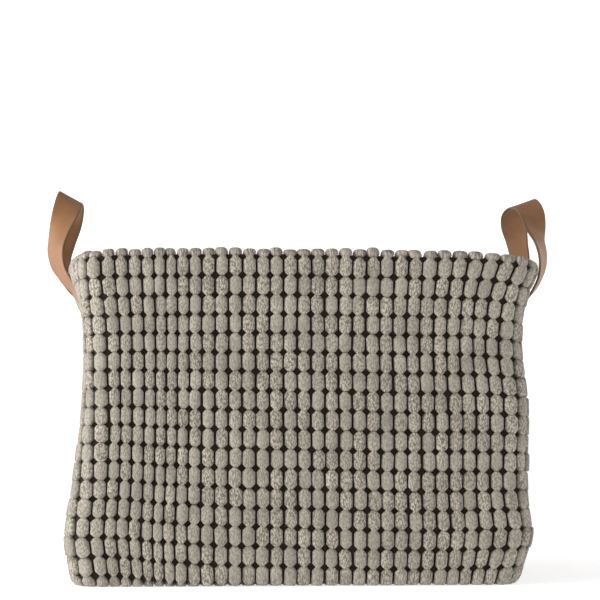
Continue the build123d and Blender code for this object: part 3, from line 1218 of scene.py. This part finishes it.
def strap_line(sizes, side):
    """The middle line of a whole strap with its turn: sewn end, loop and sewn end."""
    sign = -1 if side == "left" else 1
    stations = LEFT_LOOP if side == "left" else RIGHT_LOOP
    loop = [(sign * out * MM, y * MM, z * MM, turn) for out, y, z, turn in stations]
    columns = {end: column for strap, end, column in sewn_ends(sizes) if strap == side}
    lift = STRAP_LIFT + sizes.strap_thickness / 2
    ends = {}
    for end, column in columns.items():
        rows = []
        for height in np.linspace(SEWN_LOW, FOLD_HEIGHT, 6):
            v = drop_to(sizes, height)
            spot = wall_point(sizes, column, v) + lift * wall_normal(sizes, column, v)
            rows.append((*spot, 0.0))
        ends[end] = rows
    return smooth_path([*ends["front"], *loop, *reversed(ends["rear"])], STRAP_STEP)


def strap_section(sizes):
    """Half of a strap's outline across: (across, thickness up, how near the cut edge)."""
    half, thick = STRAP_WIDTH / 2, sizes.strap_thickness / 2
    return [
        (-half, 0.35 * thick, 1.0),
        (-half + 0.0003, 0.8 * thick, 1.0),
        (-half + 0.0009, thick, 0.85),
        (-half + 0.0022, thick, 0.0),
        (-half / 2, thick * 0.96, 0.0),
        (0, thick * 0.94, 0.0),
        (half / 2, thick * 0.96, 0.0),
        (half - 0.0022, thick, 0.0),
        (half - 0.0009, thick, 0.85),
        (half - 0.0003, 0.8 * thick, 1.0),
        (half, 0.35 * thick, 1.0),
    ]


def strap_frames(line, sign):
    """Directions at each point of a strap's line: along it, across it and out of its grain side."""
    along = unit(np.gradient(line[:, :3], axis=0))
    sideways = np.array([sign, 0.0, 0.0])
    out = unit(sideways - (along @ sideways)[:, None] * along)
    inward = np.cross(along, out) * sign
    turn = np.radians(line[:, 3])[:, None]
    across = inward * np.cos(turn) + out * np.sin(turn)
    grain = unit(out * np.cos(turn) - inward * np.sin(turn))
    return along, across, grain


class BIN_OT_straps(bpy.types.Operator):
    """Make each leather strap as one band from sewn end to sewn end, and its stitches"""

    bl_idname = "bin.straps"
    bl_label = "Leather straps"

    def execute(self, context):
        sizes = context.scene.bin_sizes
        section = strap_section(sizes)
        ring = [*section, *[(a, -b, e) for a, b, e in reversed(section)]]
        count = len(ring)
        for side, sign in (("left", -1), ("right", 1)):
            line = strap_line(sizes, side)
            along, across, grain = strap_frames(line, sign)
            places = np.array([(a, b) for a, b, _ in ring])
            points = (
                line[:, None, :3]
                + places[None, :, :1] * across[:, None]
                + places[None, :, 1:] * grain[:, None]
            )
            total = len(line)
            faces = []
            kinds = []
            for i in range(total - 1):
                for j in range(count):
                    k = (j + 1) % count
                    faces.append((i * count + j, i * count + k, (i + 1) * count + k, (i + 1) * count + j))
                    kinds.append(1 if count // 2 <= j < count - 1 else 0)
            faces.append(tuple(range(count)))
            faces.append(tuple((total - 1) * count + n for n in reversed(range(count))))
            kinds += [0, 0]
            leather = material_for("Leather", context)
            strap = mesh_piece(f"{side}_strap", points.reshape(-1, 3), faces, leather)
            strap.data.materials.append(material_for("Flesh", context))
            strap.data.polygons.foreach_set("material_index", kinds)
            face_outwards(strap)
            bpy.ops.object.shade_smooth_by_angle(angle=math.radians(55))
            mark(strap, "edge", np.tile([e for _, _, e in ring], total))
            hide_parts(f"{side}_strap_loop", f"{side}_strap_front_end", f"{side}_strap_rear_end")
            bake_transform(strap)
        self.stitches(context, sizes)
        return {"FINISHED"}

    def stitches(self, context, sizes):
        """Sew each end down with a box of stitches."""
        shape, faces = stitch_shape(sizes)
        lift = STRAP_LIFT + sizes.strap_thickness
        pitch = column_pitch(sizes)
        half = STRAP_WIDTH / 2 - STITCH_MARGIN
        low, high = SEWN_LOW + STITCH_MARGIN, FOLD_HEIGHT - STITCH_MARGIN
        upright = int((high - low) / STITCH_PITCH)
        level = int(2 * half / STITCH_PITCH)
        places = []
        for n in range(upright):
            height = low + (n + 0.5) * (high - low) / upright
            places += [(-half, height, True), (half, height, True)]
        for n in range(level):
            across = -half + (n + 0.5) * 2 * half / level
            places += [(across, low, False), (across, high, False)]
        for strap, end, column in sewn_ends(sizes):
            points = []
            for across, height, is_upright in places:
                x, y = (shape[:, 1], shape[:, 0]) if is_upright else (shape[:, 0], shape[:, 1])
                u = column + (across + x) / pitch
                v = drop_to(sizes, height) + y
                middle = drop_to(sizes, height)
                out = wall_normal(sizes, column, middle)
                points.append(wall_point(sizes, u, v) + (lift + shape[:, 2])[:, None] * out)
            piece = mesh_piece(
                f"{strap}_{end}_sewing",
                np.concatenate(points),
                copied_faces(faces, len(shape), len(places)),
                material_for("Thread", context),
            )
            face_outwards(piece)
            belongs(piece, "sewing_thread", f"{strap}_{end}_stitches")


def stitch_shape(sizes):
    """One stitch: a short rounded thread that sinks at both ends. Returns its points and faces."""
    deselect()
    thick = sizes.thread
    bpy.ops.mesh.primitive_cube_add(
        size=1, location=(0, 0, 0.3 * thick), scale=(STITCH_LENGTH, thick, thick)
    )
    stitch = named("stitch")
    settle(stitch)
    bpy.ops.object.mode_set(mode="EDIT")
    bpy.ops.mesh.select_all(action="SELECT")
    bpy.ops.mesh.bevel(offset=0.3 * thick, segments=1, affect="EDGES")
    for cut in (-0.3, 0, 0.3):
        bpy.ops.mesh.select_all(action="SELECT")
        bpy.ops.mesh.bisect(plane_co=(cut * STITCH_LENGTH, 0, 0), plane_no=(1, 0, 0))
    bpy.ops.object.mode_set(mode="OBJECT")
    points = np.array([v.co for v in stitch.data.vertices], float)
    points[:, 2] -= 0.8 * thick * (2 * points[:, 0] / STITCH_LENGTH) ** 2
    faces = [tuple(p.vertices) for p in stitch.data.polygons]
    bpy.data.meshes.remove(stitch.data)
    return points, faces


class BIN_OT_facing_sewing(bpy.types.Operator):
    """Sew the turned-down cloth to the lining, all round inside the rim"""

    bl_idname = "bin.facing_sewing"
    bl_label = "Facing sewing"

    def execute(self, context):
        sizes = context.scene.bin_sizes
        shape, faces = stitch_shape(sizes)
        pitch = column_pitch(sizes)
        count = int(sizes.columns * pitch / STITCH_PITCH)
        drop = -(FACING_DROP - HEM)
        points = []
        for n in range(count):
            column = (n + 0.5) * sizes.columns / count
            out = wall_normal(sizes, column, drop)
            spots = wall_point(sizes, column + shape[:, 0] / pitch, drop + shape[:, 1])
            points.append(spots + shape[:, 2:] * out)
        piece = mesh_piece(
            "facing_sewing",
            np.concatenate(points),
            copied_faces(faces, len(shape), count),
            material_for("Thread", context),
        )
        face_outwards(piece)
        belongs(piece, "sewing_thread", "facing_thread")
        return {"FINISHED"}


# The ground is round and turns up at its edge: its radius, the radius of the turn, its steps and its wall
GROUND_RADIUS = 3.4
GROUND_TURN = 1.2
GROUND_STEPS = 12
GROUND_WALL = 0.9
# Each lamp: its name, place, aim, size and power in watts
LAMPS = (
    ("left panel", (-1.8, -0.6, 0.6), (0, 0, 0.12), 1.5, 46),
    ("right panel", (1.8, 0.2, 0.6), (0, 0, 0.15), 1.3, 6),
    ("front panel", (-1.0, -1.4, 0.55), (0, 0, 0.10), 0.9, 4.2),
)
# The camera stands this far off at the height of the bin's middle, a little to the left
CAMERA_DISTANCE = 1.9
CAMERA_HEIGHT = 0.139
CAMERA_AZIMUTH = math.radians(-3.5)
CAMERA_TILT = math.radians(3.4)
CAMERA_ASIDE = 0.0099


class BIN_OT_stage(bpy.types.Operator):
    """Set the pale ground, the soft lights and the camera"""

    bl_idname = "bin.stage"
    bl_label = "Stage"

    def execute(self, context):
        scene = context.scene
        scene.view_settings.view_transform = "Standard"
        deselect()
        bpy.ops.mesh.primitive_circle_add(
            vertices=96, radius=GROUND_RADIUS, fill_type="NGON", location=(0, 0, -0.0003)
        )
        ground = named("ground")
        settle(ground)
        ground.data.materials.append(material_for("Paper", context))
        bpy.ops.object.mode_set(mode="EDIT")
        bpy.ops.mesh.select_all(action="SELECT")
        radius = GROUND_RADIUS
        step = math.pi / 2 / GROUND_STEPS
        for n in range(1, GROUND_STEPS + 1):
            wider = GROUND_RADIUS + GROUND_TURN * math.sin(n * step)
            lift = GROUND_TURN * (math.cos((n - 1) * step) - math.cos(n * step))
            bpy.ops.mesh.extrude_region_move(TRANSFORM_OT_translate={"value": (0, 0, lift)})
            k = wider / radius
            bpy.ops.transform.resize(value=(k, k, 1), center_override=(0, 0, 0))
            bpy.ops.mesh.select_mode(type="FACE")
            radius = wider
        bpy.ops.mesh.extrude_region_move(TRANSFORM_OT_translate={"value": (0, 0, GROUND_WALL)})
        bpy.ops.mesh.delete(type="ONLY_FACE")
        bpy.ops.object.mode_set(mode="OBJECT")
        only(ground)
        bpy.ops.object.shade_smooth()

        world = bpy.data.worlds.new("Soft room")
        scene.world = world
        world.use_nodes = True
        nodes = world.node_tree.nodes
        room = nodes["Background"]
        room.inputs["Color"].default_value = (1, 1, 1, 1)
        room.inputs["Strength"].default_value = 0.3

        for name, place, aim, size, power in LAMPS:
            light = bpy.data.lights.new(name, "AREA")
            light.shape = "SQUARE"
            light.size = size
            light.energy = power
            lamp = bpy.data.objects.new(name, light)
            scene.collection.objects.link(lamp)
            lamp.location = place
            turn_to(lamp, aim)

        camera = bpy.data.objects.new("camera", bpy.data.cameras.new("camera"))
        scene.collection.objects.link(camera)
        camera.location = (
            CAMERA_DISTANCE * math.sin(CAMERA_AZIMUTH),
            -CAMERA_DISTANCE * math.cos(CAMERA_AZIMUTH),
            CAMERA_HEIGHT,
        )
        camera.data.lens = 123.4
        camera.data.sensor_width = 36
        camera.data.clip_start = 0.1
        turn_to(camera, (CAMERA_ASIDE, 0.0, CAMERA_HEIGHT + CAMERA_DISTANCE * math.tan(CAMERA_TILT)))
        scene.camera = camera
        return {"FINISHED"}


def turn_to(thing, aim):
    """Point a lamp or the camera at a place."""
    direction = Vector(aim) - Vector(thing.location)
    thing.rotation_euler = direction.to_track_quat("-Z", "Y").to_euler()


class BIN_PT_panel(bpy.types.Panel):
    """The bin's sizes, colours and steps"""

    bl_idname = "BIN_PT_panel"
    bl_label = "Tufted storage bin"
    bl_space_type = "VIEW_3D"
    bl_region_type = "UI"
    bl_category = "Bin"

    def draw(self, context):
        for step in STEPS:
            self.layout.operator(step.bl_idname)
        for group in (context.scene.bin_sizes, context.scene.bin_colours):
            for key in group.__annotations__:
                self.layout.prop(group, key)


STEPS = (
    BIN_OT_wall_cloth,
    BIN_OT_wall_pile,
    BIN_OT_base,
    BIN_OT_inner_layers,
    BIN_OT_straps,
    BIN_OT_facing_sewing,
    BIN_OT_stage,
)
CLASSES = (BinSizes, BinColours, *STEPS, BIN_PT_panel)


def register():
    """Make the sizes, colours, steps and panel known."""
    for kind in CLASSES:
        bpy.utils.register_class(kind)
    bpy.types.Scene.bin_sizes = PointerProperty(type=BinSizes)
    bpy.types.Scene.bin_colours = PointerProperty(type=BinColours)


def unregister():
    """Take them away again."""
    del bpy.types.Scene.bin_sizes
    del bpy.types.Scene.bin_colours
    for kind in reversed(CLASSES):
        bpy.utils.unregister_class(kind)


def main():
    """Run every step in order."""
    register()
    for step in STEPS:
        group, name = step.bl_idname.split(".")
        getattr(getattr(bpy.ops, group), name)()


if __name__ == "__main__":
    main()
